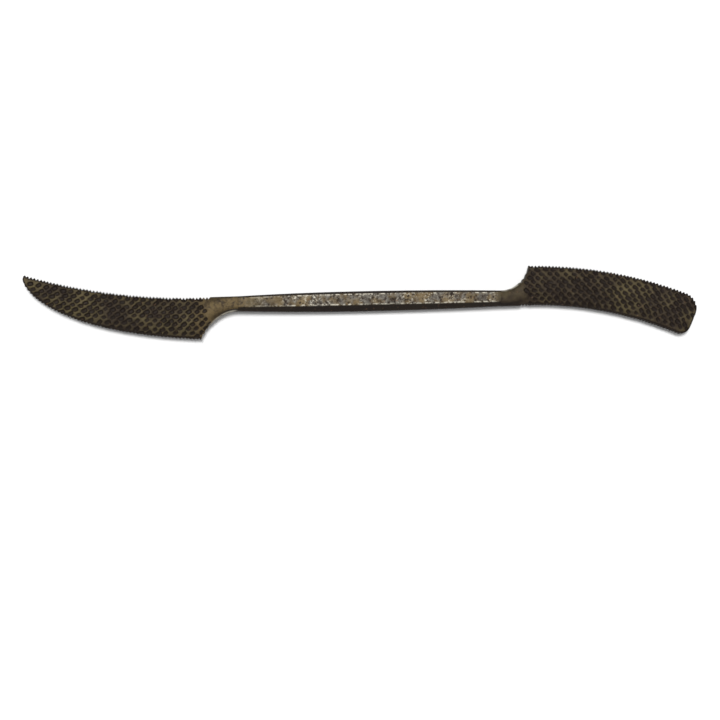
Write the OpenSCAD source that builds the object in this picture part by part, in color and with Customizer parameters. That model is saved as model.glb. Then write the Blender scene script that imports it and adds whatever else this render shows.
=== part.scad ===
// Double-ended riffler file: a forged shank with a knife-shaped rasp leaf at one end
// and a round-ended rasp leaf at the other. Both faces of each leaf are stitched with
// raised teeth, and both edges are nicked. It lies on its back face: X runs along it,
// the knife leaf points to -X, and Z is up from the flat it rests on.

/* [Shank] */
// Distance between the two heel corners, where the leaves begin
heel_span = 98; // [80:1:130]
// Width of the shank at its middle, where it swells
shank_mid_w = 5.9; // [5:0.1:8]
// Thickness of the shank between its two flats
shank_t = 5; // [4:0.1:6]
// Bevel of the front flat on the side the knife leaf curls to, at mid-length
front_upper_bevel = 0.8; // [0.3:0.1:1.2]
// Bevel of the front flat on the other side, at mid-length
front_lower_bevel = 1.8; // [0.3:0.1:1.9]
// Bevel of the back flat on the side the knife leaf curls to, at mid-length
back_upper_bevel = 1.2; // [0.3:0.1:1.2]
// Bevel of the back flat on the other side, at mid-length
back_lower_bevel = 1.7; // [0.3:0.1:1.9]

/* [Knife leaf] */
// Length from the heel corner to the point
knife_len = 51; // [40:1:65]
// Width across the heel
knife_w = 12.4; // [9:0.1:16]
// Radius of the hollow edge
knife_hollow_r = 174; // [140:5:400]
// Thickness at the heel, with the teeth
knife_heel_t = 5; // [4:0.1:6]
// Thickness near the point, with the teeth
knife_tip_t = 2.4; // [2:0.1:3.5]
// Width of the shank where this leaf's neck begins
knife_neck_w = 4.3; // [3.6:0.1:4.9]
// Length of the neck from the shank to the heel corner
knife_neck_len = 11; // [8:0.5:16]

/* [Round leaf] */
// Length from the heel corner to the end
round_len = 51; // [40:1:65]
// Width across the heel
round_w = 12; // [9:0.1:16]
// Extra width gained from the heel to the end
round_flare = 0.7; // [0:0.1:1.5]
// Radius of the hollow edge
round_hollow_r = 111; // [90:1:300]
// Thickness at the heel, with the teeth
round_heel_t = 5; // [4:0.1:6]
// Thickness near the end, with the teeth
round_end_t = 3.8; // [2.5:0.1:4.5]
// Radius of the end's corner on the outer edge
round_outer_corner = 4.8; // [3:0.1:6]
// Radius of the end's corner on the hollow edge
round_inner_corner = 3.2; // [1:0.1:4]
// Width of the shank where this leaf's neck begins
round_neck_w = 4.6; // [3.6:0.1:4.9]
// Length of the neck from the shank to the heel corner
round_neck_len = 9; // [7:0.5:14]

/* [Teeth] */
// Distance between stitched teeth along a row
tooth_pitch = 2.2; // [2:0.1:3.2]
// Distance between neighbouring rows, which are staggered by half a pitch
row_pitch = 1.32; // [1.2:0.02:2]
// Height of a tooth above the leaf's face
tooth_h = 0.25; // [0.1:0.05:0.4]
// Depth of the pit that the punch leaves in front of a tooth
pit_depth = 0.35; // [0.1:0.05:0.45]
// How far the height of hand-stitched teeth varies
tooth_uneven = 0.06; // [0:0.01:0.08]
// Depth of the nicks along a leaf's two edges
nick_depth = 0.3; // [0.1:0.05:0.4]
// Thickness of a leaf along its edges
edge_t = 1.5; // [1:0.1:2]

/* [Hidden] */

steel_dark = [0.23, 0.20, 0.17];
steel_worn = [0.50, 0.47, 0.42];
steel_brown = [0.36, 0.31, 0.22];

// The mid-plane of the whole forging
mid_z = shank_t / 2;
// Places along X
knife_heel_x = -heel_span / 2;
round_heel_x = heel_span / 2;
knife_neck_x = knife_heel_x + knife_neck_len;
round_neck_x = round_heel_x - round_neck_len;
shank_steps = 28;
neck_steps = 12;
// The fillet of each neck is part of an ellipse that sweeps this angle
knife_fillet_sweep = 58;
round_fillet_sweep = 76;
// A tooth takes four columns and two lines of points
cols_per_tooth = 4;
line_pitch = row_pitch / 2;
// Lines of points stay this far inside a leaf's edge
line_margin = 0.35;
// Points across each face of a neck
neck_points = 9;

function lerp(a, b, t) = a + (b - a) * t;
function slice(list, first, last) = [for (i = [first:1:last]) list[i]];
function reversed(face) = [for (i = [len(face) - 1:-1:0]) face[i]];

// Skin of a forging: a front and a back surface, each a list of columns of points.
// A column starts and ends on the two edges. first_line gives the number of the line
// that a column's second point lies on, so that lines may start and end anywhere.

// Triangles between two runs of point numbers, clockwise seen from the front
function zip(a, b) = concat(
    [for (i = [0:1:len(a) - 2]) [a[i], a[i + 1], b[0]]],
    [for (i = [0:1:len(b) - 2]) [b[i + 1], b[i], a[len(a) - 1]]]);

// Triangles between two neighbouring columns, lined up on the lines that both have
function strip(a, b, line_a, line_b) =
    let (first = max(line_a, line_b))
    let (last = min(line_a + len(a), line_b + len(b)) - 3)
    last < first ? zip(a, b) : concat(
        zip(slice(a, 0, first - line_a + 1), slice(b, 0, first - line_b + 1)),
        [for (n = [first:1:last - 1])
            each zip(slice(a, n - line_a + 1, n - line_a + 2),
                     slice(b, n - line_b + 1, n - line_b + 2))],
        zip(slice(a, last - line_a + 1, len(a) - 1),
            slice(b, last - line_b + 1, len(b) - 1)));

// Triangles that close one end between its front and back columns
function end_cap(column, back) = [for (i = [0:1:len(column) - 2]) each [
    [column[i], column[i + 1], column[i + 1] + back],
    [column[i], column[i + 1] + back, column[i] + back]]];

module skin(front_cols, back_cols, first_line) {
    last_col = len(front_cols) - 1;
    starts = [for (k = 0, s = 0; k <= last_col; s = s + len(front_cols[k]), k = k + 1) s];
    // Point numbers of each front column; the back ones follow in the same order
    cols = [for (k = [0:last_col]) [for (i = [0:len(front_cols[k]) - 1]) starts[k] + i]];
    back = starts[last_col] + len(front_cols[last_col]);
    front_faces = [for (k = [0:last_col - 1])
        each strip(cols[k], cols[k + 1], first_line[k], first_line[k + 1])];
    back_faces = [for (f = front_faces) reversed([for (p = f) p + back])];
    near_edge = [for (k = [0:last_col - 1]) let (a = cols[k][0], b = cols[k + 1][0])
        each [[a, b, b + back], [a, b + back, a + back]]];
    far_edge = [for (k = [0:last_col - 1])
        let (a = cols[k][len(cols[k]) - 1], b = cols[k + 1][len(cols[k + 1]) - 1])
        each [[a, a + back, b + back], [a, b + back, b]]];
    first_cap = [for (f = end_cap(cols[0], back)) reversed(f)];
    last_cap = end_cap(cols[last_col], back);
    polyhedron(
        points = concat([for (c = front_cols) each c], [for (c = back_cols) each c]),
        faces = concat(front_faces, back_faces, near_edge, far_edge, first_cap, last_cap));
}

// Shank

// Width at a place along X: a parabola that ends at the two neck widths
function shank_w(x) = x < 0
    ? lerp(shank_mid_w, knife_neck_w, pow(x / knife_neck_x, 2))
    : lerp(shank_mid_w, round_neck_w, pow(x / round_neck_x, 2));

// The bevels shrink with the width, a little faster than it does
function bevel_scale(w) = pow(w / shank_mid_w, 1.5);

// Points [y, z above or below the mid-plane] across one face of a bevelled bar,
// from its lower side to its upper side
function bar_line(w, lower, upper, spread) =
    let (lo = lower * bevel_scale(w), up = upper * bevel_scale(w))
    concat(
        [[-w / 2, shank_t / 2 - lo]],
        [for (i = [0:spread]) [lerp(-w / 2 + lo, w / 2 - up, i / spread), shank_t / 2]],
        [[w / 2, shank_t / 2 - up]]);

function front_bar(w, spread) = bar_line(w, front_lower_bevel, front_upper_bevel, spread);
function back_bar(w, spread) = bar_line(w, back_lower_bevel, back_upper_bevel, spread);

module shank() {
    xs = [for (i = [0:shank_steps]) lerp(knife_neck_x, round_neck_x, i / shank_steps)];
    color(steel_worn)
    skin([for (x = xs) [for (p = front_bar(shank_w(x), 1)) [x, p[0], mid_z + p[1]]]],
         [for (x = xs) [for (p = back_bar(shank_w(x), 1)) [x, p[0], mid_z - p[1]]]],
         [for (x = xs) 0]);
}

// Leaf sections

// Half the thickness at fraction t across a leaf, where crown is the full thickness
function lens(t, crown, edge) = edge / 2 + (crown - edge) / 2 * (1 - pow(2 * t - 1, 2));

// Necks: the bar's section turns into the leaf's, while one side follows a fillet.
// side is 1 where the fillet is on the +Y side and -1 where it is on the -Y side.

// How far along and how far out a fillet of this sweep has come at step i, from 0 to 1
function fillet_run(sweep, i) = sin(sweep * i / neck_steps) / sin(sweep);
function fillet_drop(sweep, i) = (1 - cos(sweep * i / neck_steps)) / (1 - cos(sweep));

// Points [y, z] across one face of a neck at step i
function neck_line(bar, w, drop, heel_t, side, i) =
    let (low = side < 0 ? -w / 2 - drop : -w / 2)
    let (width = w + drop)
    [for (n = [0:neck_points - 1])
        let (t = n / (neck_points - 1))
        let (bar_t = bar[n][0] / w + 0.5)
        let (blend = i / neck_steps)
        [low + width * lerp(bar_t, t, blend),
         lerp(bar[n][1], lens(t, heel_t - 2 * tooth_h, edge_t), blend)]];

module neck(start_x, reach, w, leaf_w, heel_t, side, sweep) {
    spread = neck_points - 3;
    steps = reach > 0 ? [0:neck_steps] : [neck_steps:-1:0];
    function cols(bar, up) = [for (i = steps)
        let (drop = (leaf_w - w) * fillet_drop(sweep, i))
        [for (p = neck_line(bar, w, drop, heel_t, side, i))
            [start_x + reach * fillet_run(sweep, i), p[0], mid_z + up * p[1]]]];
    skin(cols(front_bar(w, spread), 1), cols(back_bar(w, spread), -1), [for (i = steps) 0]);
}

module knife_neck() {
    color(steel_brown)
    neck(knife_neck_x, -knife_neck_len, knife_neck_w, knife_w, knife_heel_t, -1,
        knife_fillet_sweep);
}

module round_neck() {
    color(steel_brown)
    neck(round_neck_x, round_neck_len, round_neck_w, round_w, round_heel_t, 1,
        round_fillet_sweep);
}

// Leaves. A leaf is laid out from its heel along +X with its hollow edge starting at
// the origin. Its columns stand square to the hollow edge, and a point's depth is its
// distance from that edge. q runs from 0 at the heel to 1 at the tip.

function leaf_cols(len) = cols_per_tooth * round(len / tooth_pitch);

// Angle that a leaf's hollow edge sweeps to reach the leaf's length along X. The round
// leaf reaches farthest on its outer corner, which is turned back by the same sweep.
knife_sweep = asin(knife_len / knife_hollow_r);
round_reach_r = round_hollow_r + round_w + round_flare - round_outer_corner;
round_turn = round_outer_corner * (1 - cos(asin(round_len / round_reach_r)));
round_sweep = asin((round_len - round_turn) / round_reach_r);

// Outline of the knife leaf: a belly that sweeps up to the point
knife_last_q = 0.995;
knife_taper = 0.24;
function knife_depth(q) = knife_w * (1 - knife_taper * q) * sqrt(1 - pow(q, 4));
knife_point_round = 0.5;

// How far a corner of radius r draws the outline in, at distance d from the end
function corner_inset(r, d) = d >= r ? 0 : r * (1 - sqrt(1 - pow(min(1, 1 - d / r), 2)));

// Depths [hollow edge, outer edge] of each leaf
function knife_span(q) =
    let (d = knife_len * (knife_last_q - q))
    [corner_inset(knife_point_round, d), knife_depth(q)];
function round_span(q) =
    let (d = round_len * (1 - q))
    [corner_inset(round_inner_corner, d),
     round_w + round_flare * q * q - corner_inset(round_outer_corner, d)];

// The crown of a face falls away over the last part of a leaf
function end_fall(q, from) = q <= from ? 1 : sqrt(1 - 0.95 * pow((q - from) / (1 - from), 2));

// Height of the stitched surface above the plain crown. Teeth sit on every other line,
// and each tooth line is shifted by half a pitch against the next. The punch mark lies
// on the tip side of the tooth that it throws up.
function stitch(k, n, last_col) =
    let (row = n / 2)
    let (shift = (row % 2) * cols_per_tooth / 2)
    let (place = (k + shift) % cols_per_tooth)
    let (uneven = tooth_uneven * sin(73 * k + 151 * n))
    k < 2 || k > last_col - 2 || n % 2 == 1 ? 0
        : place == 0 ? tooth_h - tooth_uneven + uneven
        : place == 1 ? uneven - pit_depth
        : 0;

module leaf(len, hollow_r, sweep, heel_t, tip_t, last_q, fall_from, knife) {
    cols = leaf_cols(len);
    qs = [for (k = [0:cols]) last_q * k / cols];
    spans = [for (q = qs) knife ? knife_span(q) : round_span(q)];
    first_line = [for (s = spans) ceil((s[0] + line_margin) / line_pitch)];
    last_line = [for (s = spans) floor((s[1] - line_margin) / line_pitch)];
    // Depth, line number and nick of each point in a column
    depths = [for (k = [0:cols])
        let (nick = k % 2 == 0 || k == cols ? 0 : nick_depth)
        concat(
            [[spans[k][0] + nick, -1]],
            [for (n = [first_line[k]:1:last_line[k]]) [n * line_pitch, n]],
            [[spans[k][1] - nick, -1]])];
    function face_cols(side) = [for (k = [0:cols])
        let (q = qs[k], a = sweep * q, lo = spans[k][0], hi = spans[k][1])
        let (edge = min(edge_t, tip_t - 2 * tooth_h))
        let (crown = edge + (lerp(heel_t, tip_t, q) - 2 * tooth_h - edge) * end_fall(q, fall_from))
        [for (d = depths[k])
            let (r = hollow_r + d[0])
            let (t = (d[0] - lo) / (hi - lo))
            let (h = lens(t, crown, edge) + (d[1] < 0 ? 0 : stitch(k, d[1], cols)))
            [r * sin(a), r * cos(a) - hollow_r, side * h]]];
    skin(face_cols(1), face_cols(-1), first_line);
}

module knife_leaf() {
    color(steel_dark)
    translate([knife_heel_x, knife_neck_w / 2, mid_z])
    rotate([0, 0, 180])
    leaf(knife_len, knife_hollow_r, knife_sweep, knife_heel_t, knife_tip_t, knife_last_q, 0.9, true);
}

module round_leaf() {
    color(steel_dark)
    translate([round_heel_x, -round_neck_w / 2, mid_z])
    leaf(round_len, round_hollow_r, round_sweep, round_heel_t, round_end_t, 1, 0.88, false);
}

knife_leaf();
knife_neck();
shank();
round_neck();
round_leaf();
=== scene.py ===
"""Riffler file: a one-piece forging with stitched teeth, flats lightened by handling and painted sheen,
dark patina, and painted shade on the bevels, side faces and edges.

Five closed meshes stand for the five packed regions of the forging. Each is a row of rings: a ring
runs over the front face, down the far side, back over the back face and up the near side. Shapes
are worked out in millimetres. Along a leaf or neck, s runs from the heel towards the tip and is
negative in the neck, and d runs across from the hollow or straight edge. q is s as a share of the
leaf, from 0 at the heel.
"""
from types import SimpleNamespace

import bpy
import numpy as np
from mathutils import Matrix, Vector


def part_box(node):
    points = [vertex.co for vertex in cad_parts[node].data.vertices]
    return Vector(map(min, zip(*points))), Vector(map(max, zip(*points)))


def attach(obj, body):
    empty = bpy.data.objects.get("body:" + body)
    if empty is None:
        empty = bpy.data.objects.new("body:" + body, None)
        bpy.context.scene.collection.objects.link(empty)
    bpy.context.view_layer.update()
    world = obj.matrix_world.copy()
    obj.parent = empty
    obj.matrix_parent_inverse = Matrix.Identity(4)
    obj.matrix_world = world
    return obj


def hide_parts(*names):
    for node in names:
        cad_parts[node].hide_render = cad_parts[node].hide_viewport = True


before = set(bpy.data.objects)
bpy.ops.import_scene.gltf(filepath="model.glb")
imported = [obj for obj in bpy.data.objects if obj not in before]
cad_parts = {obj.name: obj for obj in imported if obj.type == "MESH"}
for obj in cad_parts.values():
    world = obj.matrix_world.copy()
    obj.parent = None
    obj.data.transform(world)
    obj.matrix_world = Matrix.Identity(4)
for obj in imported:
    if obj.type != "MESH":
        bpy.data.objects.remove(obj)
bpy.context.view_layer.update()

# One millimetre in metres
MM = 0.001


# Sizes read from the frame

def box_mm(node):
    low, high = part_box(node)
    return np.array(low) / MM, np.array(high) / MM


SHANK_LOW, SHANK_HIGH = box_mm("shank")
KNIFE_NECK_LOW, KNIFE_NECK_HIGH = box_mm("knife_neck")
ROUND_NECK_LOW, ROUND_NECK_HIGH = box_mm("round_neck")
SHANK_W = SHANK_HIGH[1] - SHANK_LOW[1]
SHANK_T = SHANK_HIGH[2] - SHANK_LOW[2]
HALF_T = SHANK_T / 2
MID_Z = SHANK_LOW[2] + HALF_T

# Section of the leaves: edge thickness, and the height that is left free for the teeth
EDGE_T = 1.5
TOOTH_H = 0.25
# Arc length along both leaves is measured this far below the hollow edge
ARC_DEPTH = (KNIFE_NECK_HIGH[1] - KNIFE_NECK_LOW[1]) / 2

# Bevel widths of the bar at its widest, as (-Y side, +Y side)
FRONT_BEVELS = (1.8, 0.8)
BACK_BEVELS = (1.7, 1.2)
# Bevels narrow faster than the bar does
BEVEL_POWER = 1.5
ARRIS_ROUND = 0.12

# Stitching
TOOTH_PITCH = 2.42
ROW_PITCH = 1.22
# How far in the first row stands, as a share of the row pitch
FIRST_ROW = 0.55
# The rows are laid out over more than a leaf's width and length, and what falls outside is left out
FIELD_W = 15
COLS_BEFORE_HEEL = 4
COLS_PAST_TIP = 3
# How far a row moves across for each millimetre along
ROW_DRIFT = 0.35 * np.tan(np.radians(4.5))
# How unevenly the stitcher places, turns and strikes
ALONG_UNEVEN = 0.14
ACROSS_UNEVEN = 0.1
SLANT_UNEVEN_DEG = 9
SIZE_RANGE = (0.86, 1.14)
DEPTH_RANGE = (0.7, 1.15)
LIFT_RANGE = (0.5, 1.1)
# One tooth and its pit, and how far along the leaf they reach from their place
PIT_LEN = 2.2
PIT_W = 1.4
PIT_DEPTH = 0.36
TOOTH_LIFT = 0.2
TOOTH_REACH = 1.9

# Border of the stitching in the necks: its place at the straight edge and its slant
BORDER_START = 0.2
BORDER_SLANT = 0.38
BORDER_FADE = 0.5

# Edge nicks
NICK_PITCH = 1.0
NICK_DEPTH = 0.72
NICK_REACH = 1.6
NICK_HEEL_FADE = 0.6
NICK_TIP_FADE = 1.2

# Teeth fade out this far from an edge
RIM_START = 0.12
RIM_REACH = 0.45
# Painted shade in a band along the edges and the end of a leaf
BAND_W = 1.0
BAND_FADE = 0.4
END_BAND_W = 0.5
END_BAND_FADE = 0.3
EDGE_BAND_PAINTED_SHADE = 0.62
# Painted shade on the side faces and the bevels
SIDE_PAINTED_SHADE = -0.7
BEVEL_PAINTED_SHADE = 0.75

# Mesh
MIDDLE_ROWS = 74
SIDE_ROWS = 8
EDGE_ROUND = 0.18
EDGE_TURN_DEG = (0, 30, 60, 90)
FACE_ROWS = MIDDLE_ROWS + 2 * len(EDGE_TURN_DEG)
LEAF_STATIONS = 440
NECK_STATIONS = 90
SHANK_STATIONS = 440

# First seed, and what each part of the tool adds to it
SEED = 7
FAR_EDGE_SEED = 5
NICK_SEED = 20
BACK_SEED = 50
ROUND_SEED = 100
SHANK_SEED = 200

# Floor, light and camera
FLOOR_HALF_M = 6
FLOOR_WHITE = 0.97
SUN_STRENGTH = 2.5
SUN_ANGLE_DEG = 18
SUN_TURN_DEG = (-13, -6, 0)
FILL_STRENGTH = 0.42
WHITE_STRENGTH = 1
CAMERA_PLACE_M = (-0.05358, -0.04364, 0.5012)
CAMERA_TURN_DEG = (3.181, -5.762, -1.707)
CAMERA_NEAR_M = 0.01
LENS_MM = 85

# Gloss and metal of the steel
LOW_GLOSS = 0.12
PATINA_METAL = 0.25
WORN_METAL = 0.45

# Colours, darkest first
NEAR_BLACK = (0.009, 0.0055, 0.004)
DARK_BROWN = (0.018, 0.012, 0.008)
BROWN = (0.040, 0.029, 0.017)
RUST = (0.10, 0.055, 0.03)
NECK_BROWN = (0.098, 0.069, 0.031)
WORN_GREY = (0.080, 0.073, 0.061)
OLIVE = (0.115, 0.092, 0.042)
BRIGHT = (0.36, 0.335, 0.275)


# The two ends of the tool, each a leaf and the neck that carries it

# How much wider the round leaf is at its end, and the radius of its outer corner
ROUND_FLARE = 0.7
ROUND_OUTER_CORNER = 4.8


def corner_inset(radius, distance):
    """How far a rounded corner stands in, this far before the end."""
    reach = np.clip(1 - distance / radius, 0, 1)
    return radius * (1 - np.sqrt(1 - reach ** 2))


def knife_span(q):
    """The knife leaf's two edges at q, from 0 at the heel: hollow edge, then belly."""
    taper = 0.24
    point_round = 0.5
    low = corner_inset(point_round, KNIFE.length * (KNIFE.last_q - q))
    return low, KNIFE.leaf_w * (1 - taper * q) * np.sqrt(1 - q ** 4)


def round_span(q):
    """The round leaf's two edges at q, from 0 at the heel: hollow edge, then outer edge."""
    inner_corner = 3.2
    from_end = ROUND.length * (1 - q)
    low = corner_inset(inner_corner, from_end)
    return low, ROUND.leaf_w + ROUND_FLARE * q * q - corner_inset(ROUND_OUTER_CORNER, from_end)


def knife_to_frame(x, y, h):
    return np.stack([KNIFE_NECK_LOW[0] - x, KNIFE_NECK_HIGH[1] - y, MID_Z + h], axis=-1)


def round_to_frame(x, y, h):
    return np.stack([ROUND_NECK_HIGH[0] + x, ROUND_NECK_LOW[1] + y, MID_Z + h], axis=-1)


def round_sweep():
    """Angle that the round leaf turns through, so that its outer corner ends at its length."""
    corner_r = ROUND.hollow_r + ROUND.leaf_w + ROUND_FLARE - ROUND_OUTER_CORNER
    turned = ROUND_OUTER_CORNER * (1 - np.cos(np.arcsin(ROUND.length / corner_r)))
    return np.arcsin((ROUND.length - turned) / corner_r)


KNIFE = SimpleNamespace(
    name="knife",
    length=51.0,
    hollow_r=174.0,
    leaf_w=KNIFE_NECK_HIGH[1] - KNIFE_NECK_LOW[1],
    neck_w=2 * KNIFE_NECK_HIGH[1],
    neck_len=KNIFE_NECK_HIGH[0] - KNIFE_NECK_LOW[0],
    neck_sweep=np.radians(58),
    tip_t=2.4,
    last_q=0.995,
    thin_from=0.9,
    slant_deg=30,
    nick_strengths=(1, 0.65),
    starts_at_plus_y=True,
    seed=SEED,
    span=knife_span,
    to_frame=knife_to_frame,
)
KNIFE.sweep = np.arcsin(KNIFE.length / KNIFE.hollow_r)

ROUND = SimpleNamespace(
    name="round",
    length=51.0,
    hollow_r=111.0,
    leaf_w=ROUND_NECK_HIGH[1] - ROUND_NECK_LOW[1],
    neck_w=-2 * ROUND_NECK_LOW[1],
    neck_len=ROUND_NECK_HIGH[0] - ROUND_NECK_LOW[0],
    neck_sweep=np.radians(76),
    tip_t=3.8,
    last_q=1,
    thin_from=0.88,
    slant_deg=-28,
    nick_strengths=(0.65, 1),
    starts_at_plus_y=False,
    seed=SEED + ROUND_SEED,
    span=round_span,
    to_frame=round_to_frame,
)
ROUND.sweep = round_sweep()


# Rings

def across(low, high):
    """Each row's place across, per station, and how far the rounded edges drop it."""
    turn = np.radians(EDGE_TURN_DEG)
    inset = EDGE_ROUND * (1 - np.cos(turn))
    edge_drop = EDGE_ROUND * (1 - np.sin(turn))
    share = np.linspace(0, 1, MIDDLE_ROWS + 2)[1:-1]
    inner_low = low + inset[-1]
    inner_high = high - inset[-1]
    near = low[:, None] + inset
    middle = inner_low[:, None] + (inner_high - inner_low)[:, None] * share
    far = high[:, None] - inset[::-1]
    drop = np.concatenate([edge_drop, np.zeros(MIDDLE_ROWS), edge_drop[::-1]])
    return np.concatenate([near, middle, far], axis=1), drop


def closed_rings(d, front, back):
    """Rings of places across and heights, from the half thicknesses of the two faces."""
    share = np.linspace(0, 1, SIDE_ROWS + 2)[1:-1]
    far_h = front[:, -1:] + (-back[:, -1:] - front[:, -1:]) * share
    near_h = -back[:, :1] + (front[:, :1] + back[:, :1]) * share
    far_d = np.repeat(d[:, -1:], SIDE_ROWS, axis=1)
    near_d = np.repeat(d[:, :1], SIDE_ROWS, axis=1)
    ring_d = np.concatenate([d, far_d, d[:, ::-1], near_d], axis=1)
    ring_h = np.concatenate([front, far_h, -back[:, ::-1], near_h], axis=1)
    return ring_d, ring_h


def ring_values(faces, side):
    """One value per ring point, from the front's and the back's values and one for the sides."""
    front, back = faces
    sides = np.full((len(front), SIDE_ROWS), side)
    return np.concatenate([front, sides, back[:, ::-1], sides], axis=1)


def ring_faces(stations, points):
    """Quads between the rings, then the flat faces that close the two ends, all wound inward."""
    index = np.arange(stations * points).reshape(stations, points)
    beside = np.roll(index, -1, axis=1)
    skin = np.stack([index[:-1], beside[:-1], beside[1:], index[1:]], axis=-1).reshape(-1, 4)
    back_start = FACE_ROWS + SIDE_ROWS
    strips = []
    corners = []
    for ring, flip in ((index[0], True), (index[-1], False)):
        front = ring[:FACE_ROWS]
        back = ring[back_start:back_start + FACE_ROWS][::-1]
        strip = np.stack([front[:-1], front[1:], back[1:], back[:-1]], axis=-1)
        strips.append(strip[:, ::-1] if flip else strip)
        far = ring[FACE_ROWS - 1:back_start + 1].tolist()
        near = ring[back_start + FACE_ROWS - 1:].tolist() + [int(ring[0])]
        corners += [far[::-1], near[::-1]] if flip else [far, near]
    return skin.tolist(), np.concatenate(strips).tolist() + corners


def add_piece(name, node, slot, places, values):
    """A closed mesh from rings [station, point, xyz] in millimetres, riding on the root."""
    skin, ends = ring_faces(*places.shape[:2])
    mesh = bpy.data.meshes.new(name)
    mesh.from_pydata((places.reshape(-1, 3) * MM).tolist(), [], skin + ends)
    mesh.polygons.foreach_set("use_smooth", [True] * len(skin) + [False] * len(ends))
    mesh.validate()
    for key, value in values.items():
        attribute = mesh.attributes.new(key, "FLOAT", "POINT")
        attribute.data.foreach_set("value", value.astype(np.float32).ravel())
    mesh.materials.append(MATERIALS[slot])
    piece = bpy.data.objects.new(name, mesh)
    bpy.context.scene.collection.objects.link(piece)
    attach(piece, "root")
    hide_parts(node)


# Sections

def lens(t, crown, edge):
    """Half thickness of a leaf, t from 0 to 1 across."""
    return edge / 2 + (crown - edge) / 2 * (1 - (2 * t - 1) ** 2)


def bevel_scale(width):
    return (width / SHANK_W) ** BEVEL_POWER


def bar_height(d, width, bevels):
    """Half thickness of the bevelled bar, with the bevels as (d = 0 side, far side)."""
    def cut(depth):
        return 0.5 * (depth + np.sqrt(depth * depth + ARRIS_ROUND * ARRIS_ROUND))

    scale = bevel_scale(width)
    return HALF_T - cut(bevels[0] * scale - d) - cut(bevels[1] * scale - (width - d))


def edge_distance(d, low, high):
    return np.minimum(d - low[:, None], high[:, None] - d)


def rim_fade(d, low, high):
    """0 at the edges and 1 where the teeth have their full height."""
    return np.clip((edge_distance(d, low, high) - RIM_START) / RIM_REACH, 0, 1)


# Unevenness and rust

def smooth_noise(x, y, seed, size):
    """Crossing waves of about this size, mostly from -1 to 1."""
    count = 9
    rate_range = (0.6, 1.5)
    waves = np.random.default_rng(seed)
    total = np.zeros(np.broadcast(x, y).shape)
    for _ in range(count):
        turn, phase = waves.uniform(0, 2 * np.pi, 2)
        rate = 2 * np.pi / size * waves.uniform(*rate_range)
        total += np.sin(rate * (x * np.cos(turn) + y * np.sin(turn)) + phase)
    return total / np.sqrt(count)


def rust_pits(x, d, seed):
    """Depths, below 0, of small round pits scattered over the shank."""
    count = 620
    least_r, most_r = 0.12, 0.55
    # Smaller pits than this are shallower
    full_depth_r = 0.3
    deepest = 0.07
    depth_range = (0.4, 1)
    wall_power = 1.5
    pick = np.random.default_rng(seed)
    height = np.zeros(d.shape)
    for _ in range(count):
        centre_x = pick.uniform(x[0], x[-1])
        centre_d = pick.uniform(0, SHANK_W)
        # The cube makes most pits small
        radius = least_r + (most_r - least_r) * pick.random() ** 3
        depth = deepest * pick.uniform(*depth_range) * min(1, radius / full_depth_r)
        first, last = np.searchsorted(x, [centre_x - radius, centre_x + radius])
        out = ((x[first:last, None] - centre_x) ** 2 + (d[first:last] - centre_d) ** 2) / radius ** 2
        height[first:last] -= depth * np.clip(1 - out, 0, 1) ** wall_power
    return height


# Stitching

def before_border(s, d):
    return s > -(BORDER_START + BORDER_SLANT * d)


def border_fade(s, d):
    """1 where stitched, falling to 0 past the slanted border in the neck."""
    return np.clip((s + BORDER_START + BORDER_SLANT * d) / BORDER_FADE + 1, 0, 1)


def pit_depth(along, aside):
    """Depth of a punch's pit, from 0 to 1, along from 0 to 1 over its length."""
    widest = 4 / 9
    half_len = 5 / 9
    wall_steepness = 1.25
    back_slope = 0.18
    front_slope = 0.4
    # Keeps the width above 0 past the two ends
    least = 0.01
    half_w = PIT_W / 2 * np.sqrt(np.clip(1 - ((along - widest) / half_len) ** 2, least, 1))
    wall = np.clip(wall_steepness * (1 - (np.abs(aside) / half_w) ** 2), 0, 1)
    return wall * np.clip(along / back_slope, 0, 1) * np.clip((1 - along) / front_slope, 0, 1)


def tooth_height(along, aside):
    """Height of the tooth that stands behind its pit, from 0 to 1."""
    gap = 0.02
    half_w = 0.62
    crest_power = 0.8
    front_len = 0.14
    overhang = 0.9
    back_len = 0.65
    behind = -(along - gap) * PIT_LEN
    crest = np.clip(1 - np.abs(aside) / half_w, 0, 1) ** crest_power
    return crest * np.clip(behind / front_len + overhang, 0, 1) * np.clip(1 - behind / back_len, 0, 1)


def stitch(s, d, inside, end, seed):
    """Height of the stitching over a face, and its shade from -1 in pits to 1 on teeth."""
    # How far along its own pit a tooth's place lies
    place_in_pit = 0.45
    pick = np.random.default_rng(seed)
    height = np.zeros(d.shape)
    shade = np.zeros(d.shape)
    order = np.argsort(s)
    sorted_s = s[order]
    for row in range(int(FIELD_W / ROW_PITCH)):
        for col in range(-COLS_BEFORE_HEEL, int(end.length / TOOTH_PITCH) + COLS_PAST_TIP):
            tooth_s = (col + 0.5 * (row % 2)) * TOOTH_PITCH + pick.normal(0, ALONG_UNEVEN)
            tooth_d = (row + FIRST_ROW) * ROW_PITCH + tooth_s * ROW_DRIFT + pick.normal(0, ACROSS_UNEVEN)
            turn = np.radians(end.slant_deg + pick.normal(0, SLANT_UNEVEN_DEG))
            size = pick.uniform(*SIZE_RANGE)
            depth = PIT_DEPTH * pick.uniform(*DEPTH_RANGE)
            lift = TOOTH_LIFT * pick.uniform(*LIFT_RANGE)
            if not inside(tooth_s, tooth_d):
                continue
            first, last = np.searchsorted(sorted_s, [tooth_s - TOOTH_REACH, tooth_s + TOOTH_REACH])
            near = order[first:last]
            ds = s[near, None] - tooth_s
            dd = d[near] - tooth_d
            along = (ds * np.cos(turn) + dd * np.sin(turn)) / size / PIT_LEN + place_in_pit
            aside = (dd * np.cos(turn) - ds * np.sin(turn)) / size
            pit = depth * size * pit_depth(along, aside)
            tooth = lift * tooth_height(along, aside)
            height[near] += tooth - pit
            shade[near] += tooth / TOOTH_LIFT - pit / PIT_DEPTH
    return height, np.clip(shade, -1, 1)


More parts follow.
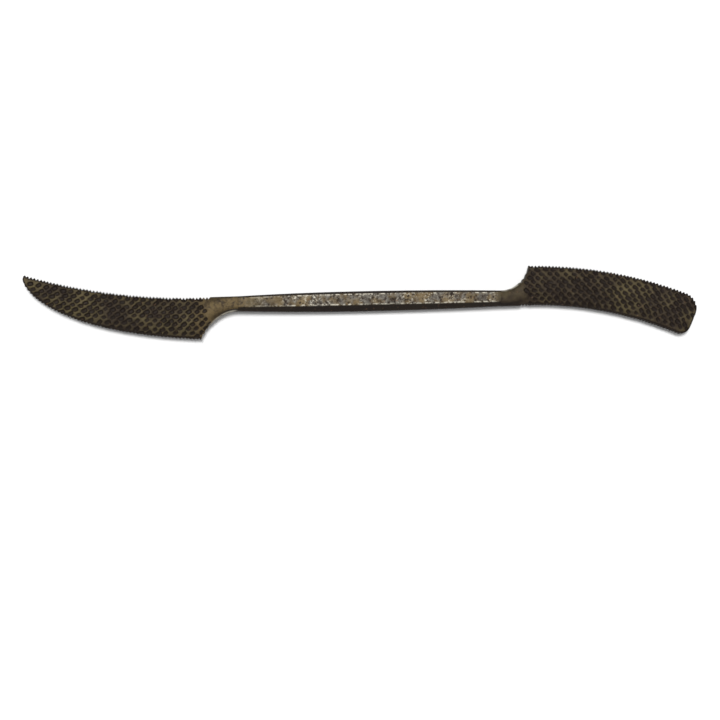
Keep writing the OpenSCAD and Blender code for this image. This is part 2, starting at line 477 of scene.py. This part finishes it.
def nick_depth(s, seed):
    """Depth of the nicks along an edge: vees with points between them."""
    pitch_unevenness = 0.06
    pitch_wave = 5
    depth_unevenness = 0.15
    depth_wave = 3
    depth_seed = seed + 1
    place = s / NICK_PITCH + pitch_unevenness * smooth_noise(s, 0, seed, pitch_wave)
    vee = 1 - np.abs(2 * (place % 1) - 1)
    shallower = depth_unevenness * (1 - smooth_noise(s, 0, depth_seed, depth_wave))
    return NICK_DEPTH * vee * (1 - shallower)


def nicked(d, low, high, s, fade, seed, strengths):
    """Draws the two edges in by their nicks, less and less towards the middle."""
    low_nick = nick_depth(s, seed + NICK_SEED) * fade * strengths[0]
    high_nick = nick_depth(s, seed + NICK_SEED + FAR_EDGE_SEED) * fade * strengths[1]
    near = np.clip(1 - (d - low[:, None]) / NICK_REACH, 0, 1) ** 2
    far = np.clip(1 - (high[:, None] - d) / NICK_REACH, 0, 1) ** 2
    return d + low_nick[:, None] * near - high_nick[:, None] * far


# Pieces

def leaf_stations(end):
    """Stations that crowd where the outer edge turns in, so that the end stays smooth."""
    turn_weight = 0.6
    fine_steps = 20001
    q = np.linspace(0, end.last_q, fine_steps)
    step = np.hypot(np.diff(q) * end.length, turn_weight * np.diff(end.span(q)[1]))
    run = np.concatenate([[0], np.cumsum(step)])
    return np.interp(np.linspace(0, run[-1], LEAF_STATIONS), run, q)


def leaf_crown(q, end):
    """Thickness at the middle of the leaf and at its edges, both without teeth."""
    end_roundness = 0.95
    edge = min(EDGE_T, end.tip_t - 2 * TOOTH_H)
    middle = SHANK_T + (end.tip_t - SHANK_T) * q - 2 * TOOTH_H
    near_end = np.clip((q - end.thin_from) / (1 - end.thin_from), 0, 1)
    return edge + (middle - edge) * np.sqrt(1 - end_roundness * near_end ** 2), edge


def painted_edge_shade_band(d, low, high, from_end):
    """1 in the band of painted shade along the edges and the end."""
    side = np.clip((BAND_W - edge_distance(d, low, high)) / BAND_FADE, 0, 1)
    return np.maximum(side, np.clip((END_BAND_W - from_end) / END_BAND_FADE, 0, 1)[:, None])


def leaf(end):
    margin = 0.5
    unevenness = 0.025
    uneven_wave = 6
    uneven_seed = 3
    q = leaf_stations(end)
    low, high = end.span(q)
    d, drop = across(low, high)
    s = q * end.sweep * (end.hollow_r + ARC_DEPTH)
    from_end = (end.last_q - q) * end.length
    t = (d - low[:, None]) / (high - low)[:, None]
    crown, edge = leaf_crown(q, end)
    rim = rim_fade(d, low, high)
    band = painted_edge_shade_band(d, low, high, from_end)

    def inside(tooth_s, tooth_d):
        here_low = np.interp(tooth_s, s, low)
        here_high = np.interp(tooth_s, s, high)
        if not here_low + margin < tooth_d < here_high - margin:
            return False
        return before_border(tooth_s, tooth_d) and tooth_s < s[-1] - margin

    faces, shades = [], []
    for seed in (end.seed, end.seed + BACK_SEED):
        height, shade = stitch(s, d, inside, end, seed)
        uneven = unevenness * smooth_noise(s[:, None], d, seed + uneven_seed, uneven_wave)
        faces.append(lens(t, crown[:, None], edge) - drop + (height + uneven) * rim)
        # Pits go dark, teeth light, and the edge band gets painted shade
        shades.append(shade * rim - EDGE_BAND_PAINTED_SHADE * band)
    nick_fade = np.clip(from_end / NICK_TIP_FADE, 0, 1) * np.clip(q * end.length / NICK_HEEL_FADE, 0, 1)
    d = nicked(d, low, high, s, nick_fade, end.seed, end.nick_strengths)
    ring_d, ring_h = closed_rings(d, *faces)
    angle = (q * end.sweep)[:, None]
    x = (end.hollow_r + ring_d) * np.sin(angle)
    y = (end.hollow_r + ring_d) * np.cos(angle) - end.hollow_r
    # The side faces of the leaf get painted shade
    values = {"relief_and_painted_shade": ring_values(shades, SIDE_PAINTED_SHADE)}
    add_piece(f"{end.name}_leaf_stitched", f"{end.name}_leaf", "stitched_steel",
              end.to_frame(x, y, ring_h), values)


def rubbed_line(distance, reach):
    """1 on a line that handling has rubbed bright, falling to 0 a little past its reach."""
    end = 1.3
    return np.clip(end - distance / reach, 0, 1)


def worn_fillet(s, d, high, end):
    """1 along the edge of the neck's fillet, and 0 near the leaf and the shank."""
    reach = 0.4
    leaf_gap = 2.2
    fade = 1.5
    share = np.clip((-s - leaf_gap) / fade, 0, 1) * np.clip((s + end.neck_len) / fade, 0, 1)
    return rubbed_line(high[:, None] - d, reach) * share[:, None]


def neck(end):
    edge_margin = 0.5
    fillet_margin = 0.35
    nicks_from = -3.2
    nicks_fade = 0.8
    bevel_start, bevel_reach = 0.25, 0.4
    # 1 at the leaf and 0 at the shank
    step = np.linspace(0, 1, NECK_STATIONS)[::-1]
    s = -end.neck_len * (1 - np.sin(end.neck_sweep * step) / np.sin(end.neck_sweep))
    spread = (1 - np.cos(end.neck_sweep * step)) / (1 - np.cos(end.neck_sweep))
    high = end.neck_w + (end.leaf_w - end.neck_w) * spread
    low = np.zeros(NECK_STATIONS)
    d, drop = across(low, high)
    t = d / high[:, None]
    rim = rim_fade(d, low, high)
    fade = border_fade(s[:, None], d)
    bare = (1 - fade) * (1 - step[:, None])
    heel_lens = lens(t, SHANK_T - 2 * TOOTH_H, EDGE_T)

    def inside(tooth_s, tooth_d):
        here_high = np.interp(tooth_s, s[::-1], high[::-1])
        return edge_margin < tooth_d < here_high - fillet_margin and before_border(tooth_s, tooth_d)

    faces, shades = [], []
    for bevels, seed in ((FRONT_BEVELS, end.seed), (BACK_BEVELS, end.seed + BACK_SEED)):
        from_start = bevels[::-1] if end.starts_at_plus_y else bevels
        bar = bar_height(t * end.neck_w, end.neck_w, from_start)
        height, shade = stitch(s, d, inside, end, seed)
        face = bar + (heel_lens - bar) * step[:, None] - drop + height * rim * fade
        # Painted shade on the bevels where the neck is bare
        bevel = np.clip((HALF_T - bevel_start - face) / bevel_reach, 0, 1) * bare
        faces.append(face)
        shades.append(shade * rim * fade - BEVEL_PAINTED_SHADE * bevel)
    line = worn_fillet(s, d, high, end)
    nick_fade = np.clip((s - nicks_from) / nicks_fade, 0, 1) * np.clip(-s / NICK_HEEL_FADE, 0, 1)
    d = nicked(d, low, high, s, nick_fade, end.seed, (1, 1))
    ring_d, ring_h = closed_rings(d, *faces)
    x = np.repeat(s[:, None], ring_d.shape[1], axis=1)
    places = end.to_frame(x, ring_d, ring_h)
    # The side faces of the neck get painted shade
    relief_and_painted_shade = ring_values(shades, SIDE_PAINTED_SHADE)
    arris = ring_values((line, line), 0)
    # Turned round, so that the rings run towards the leaf as the leaf's own do
    add_piece(f"{end.name}_neck_forged", f"{end.name}_neck", "brown_steel", places[::-1],
              {"relief_and_painted_shade": relief_and_painted_shade[::-1], "arris": arris[::-1]})


def worn_arrises(d, width, bevels):
    """1 along the two lines where the flat meets its bevels, the upper line the thinner."""
    reach = 0.24
    upper_thinness = 1.4
    lower = np.abs(d - bevels[0] * bevel_scale(width) - ARRIS_ROUND)
    upper = np.abs(width - d - bevels[1] * bevel_scale(width) - ARRIS_ROUND)
    return rubbed_line(np.minimum(lower, upper * upper_thinness), reach)


def shank():
    first_seed = SEED + SHANK_SEED
    end_fade = 2
    unevenness = 0.02
    uneven_wave = 5
    uneven_seed = 1
    # Keeps the uneven flats inside the CAD solid
    sink = 0.05
    flat_start, flat_reach = 0.22, 0.16
    dark_pit = 0.05
    x = np.linspace(SHANK_LOW[0], SHANK_HIGH[0], SHANK_STATIONS)
    knife_side = SHANK_W + (KNIFE.neck_w - SHANK_W) * (x / SHANK_LOW[0]) ** 2
    round_side = SHANK_W + (ROUND.neck_w - SHANK_W) * (x / SHANK_HIGH[0]) ** 2
    width = np.where(x < 0, knife_side, round_side)
    d, drop = across(np.zeros(SHANK_STATIONS), width)
    width = width[:, None]
    ends = np.clip(np.minimum(x - x[0], x[-1] - x) / end_fade, 0, 1)[:, None]
    faces, flats, shades, arrises = [], [], [], []
    for bevels, seed in ((FRONT_BEVELS, first_seed), (BACK_BEVELS, first_seed + BACK_SEED)):
        bar = bar_height(d, width, bevels) - drop
        pits = rust_pits(x, d, seed)
        uneven = unevenness * smooth_noise(x[:, None], d, seed + uneven_seed, uneven_wave) - sink
        # 1 on the flats, which get a lighter colour partly as painted sheen, and 0 on the bevels
        flat = np.clip((bar - HALF_T + flat_start) / flat_reach, 0, 1)
        faces.append(bar + (pits + uneven) * ends)
        flats.append(flat)
        # Rust pits go dark, and the bevels get painted shade
        shades.append(np.clip(pits / dark_pit, -1, 0) * ends - BEVEL_PAINTED_SHADE * (1 - flat))
        arrises.append(worn_arrises(d, width, bevels))
    ring_d, ring_h = closed_rings(d, *faces)
    ring_x = np.repeat(x[:, None], ring_d.shape[1], axis=1)
    places = np.stack([ring_x, ring_d - width / 2, MID_Z + ring_h], axis=-1)
    # The side faces get painted shade, and the flats carry their painted sheen
    values = {
        "relief_and_painted_shade": ring_values(shades, SIDE_PAINTED_SHADE),
        "worn": ring_values(flats, 0),
        "arris": ring_values(arrises, 0),
    }
    add_piece("shank_forged", "shank", "worn_steel", places, values)


# Materials

class Nodes:
    """Short calls for building a material's node tree, with noise sizes per millimetre."""

    def __init__(self, name):
        self.material = bpy.data.materials.new(name)
        self.material.use_nodes = True
        self.tree = self.material.node_tree
        self.tree.nodes.clear()
        coords = self.tree.nodes.new("ShaderNodeTexCoord")
        scale = self.tree.nodes.new("ShaderNodeVectorMath")
        scale.operation = "SCALE"
        scale.inputs["Scale"].default_value = 1 / MM
        self.tree.links.new(coords.outputs["Object"], scale.inputs[0])
        self.place = scale.outputs[0]

    def put(self, socket, value):
        """Links a socket, or sets a colour or a number on it."""
        if isinstance(value, bpy.types.NodeSocket):
            self.tree.links.new(value, socket)
        elif isinstance(value, tuple):
            socket.default_value = (*value, 1)
        else:
            socket.default_value = value

    def attribute(self, name):
        node = self.tree.nodes.new("ShaderNodeAttribute")
        node.attribute_name = name
        return node.outputs["Fac"]

    def along_x(self):
        node = self.tree.nodes.new("ShaderNodeSeparateXYZ")
        self.put(node.inputs[0], self.place)
        return node.outputs["X"]

    def noise(self, per_mm, detail, rough=0.6):
        node = self.tree.nodes.new("ShaderNodeTexNoise")
        node.inputs["Scale"].default_value = per_mm
        node.inputs["Detail"].default_value = detail
        node.inputs["Roughness"].default_value = rough
        self.put(node.inputs["Vector"], self.place)
        return node.outputs["Fac"]

    def rise(self, value, start, end, low=0.0, high=1.0):
        """Goes from low to high while the value goes from start to end."""
        node = self.tree.nodes.new("ShaderNodeMapRange")
        self.put(node.inputs["Value"], value)
        self.put(node.inputs["From Min"], start)
        self.put(node.inputs["From Max"], end)
        self.put(node.inputs["To Min"], low)
        self.put(node.inputs["To Max"], high)
        return node.outputs["Result"]

    def times(self, a, b):
        node = self.tree.nodes.new("ShaderNodeMath")
        node.operation = "MULTIPLY"
        self.put(node.inputs[0], a)
        self.put(node.inputs[1], b)
        return node.outputs[0]

    def mix(self, factor, a, b):
        """Mixes two colours, which are the Mix node's sockets 6 and 7."""
        node = self.tree.nodes.new("ShaderNodeMix")
        node.data_type = "RGBA"
        self.put(node.inputs[0], factor)
        self.put(node.inputs[6], a)
        self.put(node.inputs[7], b)
        return node.outputs[2]

    def bump(self, height, strength, distance_mm):
        node = self.tree.nodes.new("ShaderNodeBump")
        node.inputs["Strength"].default_value = strength
        node.inputs["Distance"].default_value = distance_mm * MM
        self.put(node.inputs["Height"], height)
        return node.outputs["Normal"]

    def steel(self, colour, roughness, metallic, normal):
        """Ends the tree in a steel with little gloss and returns the material."""
        shader = self.tree.nodes.new("ShaderNodeBsdfPrincipled")
        output = self.tree.nodes.new("ShaderNodeOutputMaterial")
        self.put(shader.inputs["Base Color"], colour)
        self.put(shader.inputs["Roughness"], roughness)
        self.put(shader.inputs["Metallic"], metallic)
        self.put(shader.inputs["Normal"], normal)
        shader.inputs["Specular IOR Level"].default_value = LOW_GLOSS
        self.tree.links.new(shader.outputs[0], output.inputs[0])
        return self.material


def patina(n):
    """Dark skin of the whole tool, worked out in the tool's own place, so that it has no seams."""
    clouds = n.rise(n.noise(0.5, detail=6, rough=0.65), 0.36, 0.62)
    drift = n.rise(n.noise(0.11, detail=3), 0.42, 0.66, high=0.55)
    colour = n.mix(drift, n.mix(clouds, DARK_BROWN, BROWN), OLIVE)
    # The knife neck is a clear olive brown that fades out past its two ends
    heel_x = KNIFE_NECK_LOW[0]
    shank_x = KNIFE_NECK_HIGH[0]
    onto_leaf, into_neck, onto_shank = 4, 2, 8
    x = n.along_x()
    leaf_side = n.rise(x, heel_x - onto_leaf, heel_x + into_neck)
    shank_side = n.rise(x, shank_x + onto_shank, shank_x)
    mottle = n.rise(n.noise(0.6, detail=6, rough=0.7), 0.38, 0.56, low=0.05, high=1.15)
    return n.mix(n.times(n.times(leaf_side, shank_side), mottle), colour, NECK_BROWN)


def pits_wear_and_painted_shade(n, colour):
    """Pits go near black with dirt, and bevels, side faces and edge bands go near black as painted
    shade; tooth tips are a little rubbed.
    """
    relief_and_painted_shade = n.attribute("relief_and_painted_shade")
    # Near black in the pits, and painted shade on bevels, side faces and edge bands
    colour = n.mix(n.rise(relief_and_painted_shade, -0.05, -0.6, high=0.93), colour, NEAR_BLACK)
    patches = n.rise(n.noise(1.3, detail=4), 0.42, 0.62)
    tips = n.times(n.rise(relief_and_painted_shade, 0.15, 0.9, high=0.5), patches)
    return n.mix(tips, colour, WORN_GREY)


def flecked(n, colour, speck_strength):
    """Sparse rust spots and grey specks."""
    rust = n.rise(n.noise(1.1, detail=3, rough=0.5), 0.66, 0.73, high=0.55)
    specks = n.rise(n.noise(3.2, detail=2, rough=0.5), 0.70, 0.76, high=speck_strength)
    return n.mix(specks, n.mix(rust, colour, RUST), WORN_GREY)


def dark_steel(name):
    """Leaves and necks: patina, with rubbed lines where the arris attribute says."""
    n = Nodes(name)
    colour = flecked(n, pits_wear_and_painted_shade(n, patina(n)), 0.6)
    rubbed = n.times(n.attribute("arris"), n.rise(n.noise(0.7, detail=4), 0.36, 0.5))
    roughness = n.rise(n.noise(1.6, detail=5), 0.3, 0.7, low=0.66, high=0.46)
    normal = n.bump(n.noise(7, detail=6, rough=0.7), strength=0.35, distance_mm=0.06)
    return n.steel(n.mix(rubbed, colour, BRIGHT), roughness, PATINA_METAL, normal)


def worn_and_sheen_colour(n, grain):
    """Handled flats: mottled grey, lighter partly from handling and partly as painted sheen, brown
    patches, bright flecks and broken bright arrises.
    """
    patches = n.rise(n.noise(0.28, detail=4), 0.44, 0.58, high=0.75)
    flecks = n.rise(n.noise(1.5, detail=4), 0.52, 0.64, high=0.85)
    fleck_zones = n.rise(n.noise(0.17, detail=3), 0.47, 0.6)
    rubbed = n.times(n.attribute("arris"), n.rise(n.noise(0.8, detail=4), 0.46, 0.56))
    pits = n.rise(n.attribute("relief_and_painted_shade"), -0.2, -0.9, high=0.85)
    grey = n.mix(n.rise(grain, 0.4, 0.58), DARK_BROWN, WORN_GREY)
    grey = n.mix(patches, grey, NECK_BROWN)
    grey = n.mix(n.times(flecks, fleck_zones), grey, BRIGHT)
    grey = n.mix(rubbed, grey, BRIGHT)
    return n.mix(pits, grey, DARK_BROWN)


def worn_steel(name):
    """Shank: flats lightened by handling and by painted sheen, which merge slowly into the patina at the
    knife end.
    """
    merge_len = 16
    round_end_gap, round_end_fade = 0.5, 2
    n = Nodes(name)
    grain = n.noise(0.95, detail=7, rough=0.7)
    x = n.along_x()
    knife_end = n.rise(x, SHANK_LOW[0], SHANK_LOW[0] + merge_len)
    round_x = SHANK_HIGH[0] - round_end_gap
    round_end = n.rise(x, round_x, round_x - round_end_fade)
    # The flats take the lighter grey: handling and painted sheen
    wear_and_sheen_mask = n.times(n.attribute("worn"), n.times(knife_end, round_end))
    colour = n.mix(wear_and_sheen_mask, pits_wear_and_painted_shade(n, patina(n)), worn_and_sheen_colour(n, grain))
    roughness = n.rise(grain, 0.3, 0.7, low=0.55, high=0.36)
    metallic = n.rise(wear_and_sheen_mask, 0, 1, low=PATINA_METAL, high=WORN_METAL)
    normal = n.bump(grain, strength=0.5, distance_mm=0.12)
    return n.steel(flecked(n, colour, 0.4), roughness, metallic, normal)


MATERIALS = {
    "stitched_steel": dark_steel("stitched_steel"),
    "brown_steel": dark_steel("brown_steel"),
    "worn_steel": worn_steel("worn_steel"),
}


# Camera, light and floor

def camera():
    data = bpy.data.cameras.new("camera")
    data.lens = LENS_MM
    data.clip_start = CAMERA_NEAR_M
    view = bpy.data.objects.new("camera", data)
    view.location = CAMERA_PLACE_M
    view.rotation_euler = np.radians(CAMERA_TURN_DEG)
    bpy.context.scene.collection.objects.link(view)
    bpy.context.scene.camera = view


def key_light():
    sun = bpy.data.lights.new("key", "SUN")
    sun.energy = SUN_STRENGTH
    sun.angle = np.radians(SUN_ANGLE_DEG)
    lamp = bpy.data.objects.new("key", sun)
    lamp.rotation_euler = np.radians(SUN_TURN_DEG)
    bpy.context.scene.collection.objects.link(lamp)


def studio():
    """White where the camera or a reflection sees it, and a weaker fill light elsewhere."""
    world = bpy.data.worlds.new("studio")
    bpy.context.scene.world = world
    world.use_nodes = True
    tree = world.node_tree
    background = tree.nodes["Background"]
    background.inputs["Color"].default_value = (1, 1, 1, 1)
    path = tree.nodes.new("ShaderNodeLightPath")
    seen = tree.nodes.new("ShaderNodeMath")
    seen.operation = "MAXIMUM"
    strength = tree.nodes.new("ShaderNodeMapRange")
    strength.inputs["To Min"].default_value = FILL_STRENGTH
    strength.inputs["To Max"].default_value = WHITE_STRENGTH
    tree.links.new(path.outputs["Is Camera Ray"], seen.inputs[0])
    tree.links.new(path.outputs["Is Glossy Ray"], seen.inputs[1])
    tree.links.new(seen.outputs[0], strength.inputs["Value"])
    tree.links.new(strength.outputs[0], background.inputs["Strength"])


def floor():
    half = FLOOR_HALF_M
    mesh = bpy.data.meshes.new("floor")
    corners = [(-half, -half, 0), (half, -half, 0), (half, half, 0), (-half, half, 0)]
    mesh.from_pydata(corners, [], [(0, 1, 2, 3)])
    material = bpy.data.materials.new("white_table")
    material.use_nodes = True
    shader = material.node_tree.nodes["Principled BSDF"]
    shader.inputs["Base Color"].default_value = (FLOOR_WHITE, FLOOR_WHITE, FLOOR_WHITE, 1)
    shader.inputs["Roughness"].default_value = 1
    shader.inputs["Specular IOR Level"].default_value = 0
    mesh.materials.append(material)
    piece = bpy.data.objects.new("floor", mesh)
    bpy.context.scene.collection.objects.link(piece)


camera()
key_light()
studio()
floor()
leaf(KNIFE)
neck(KNIFE)
shank()
neck(ROUND)
leaf(ROUND)
bpy.context.scene.view_settings.view_transform = "Standard"
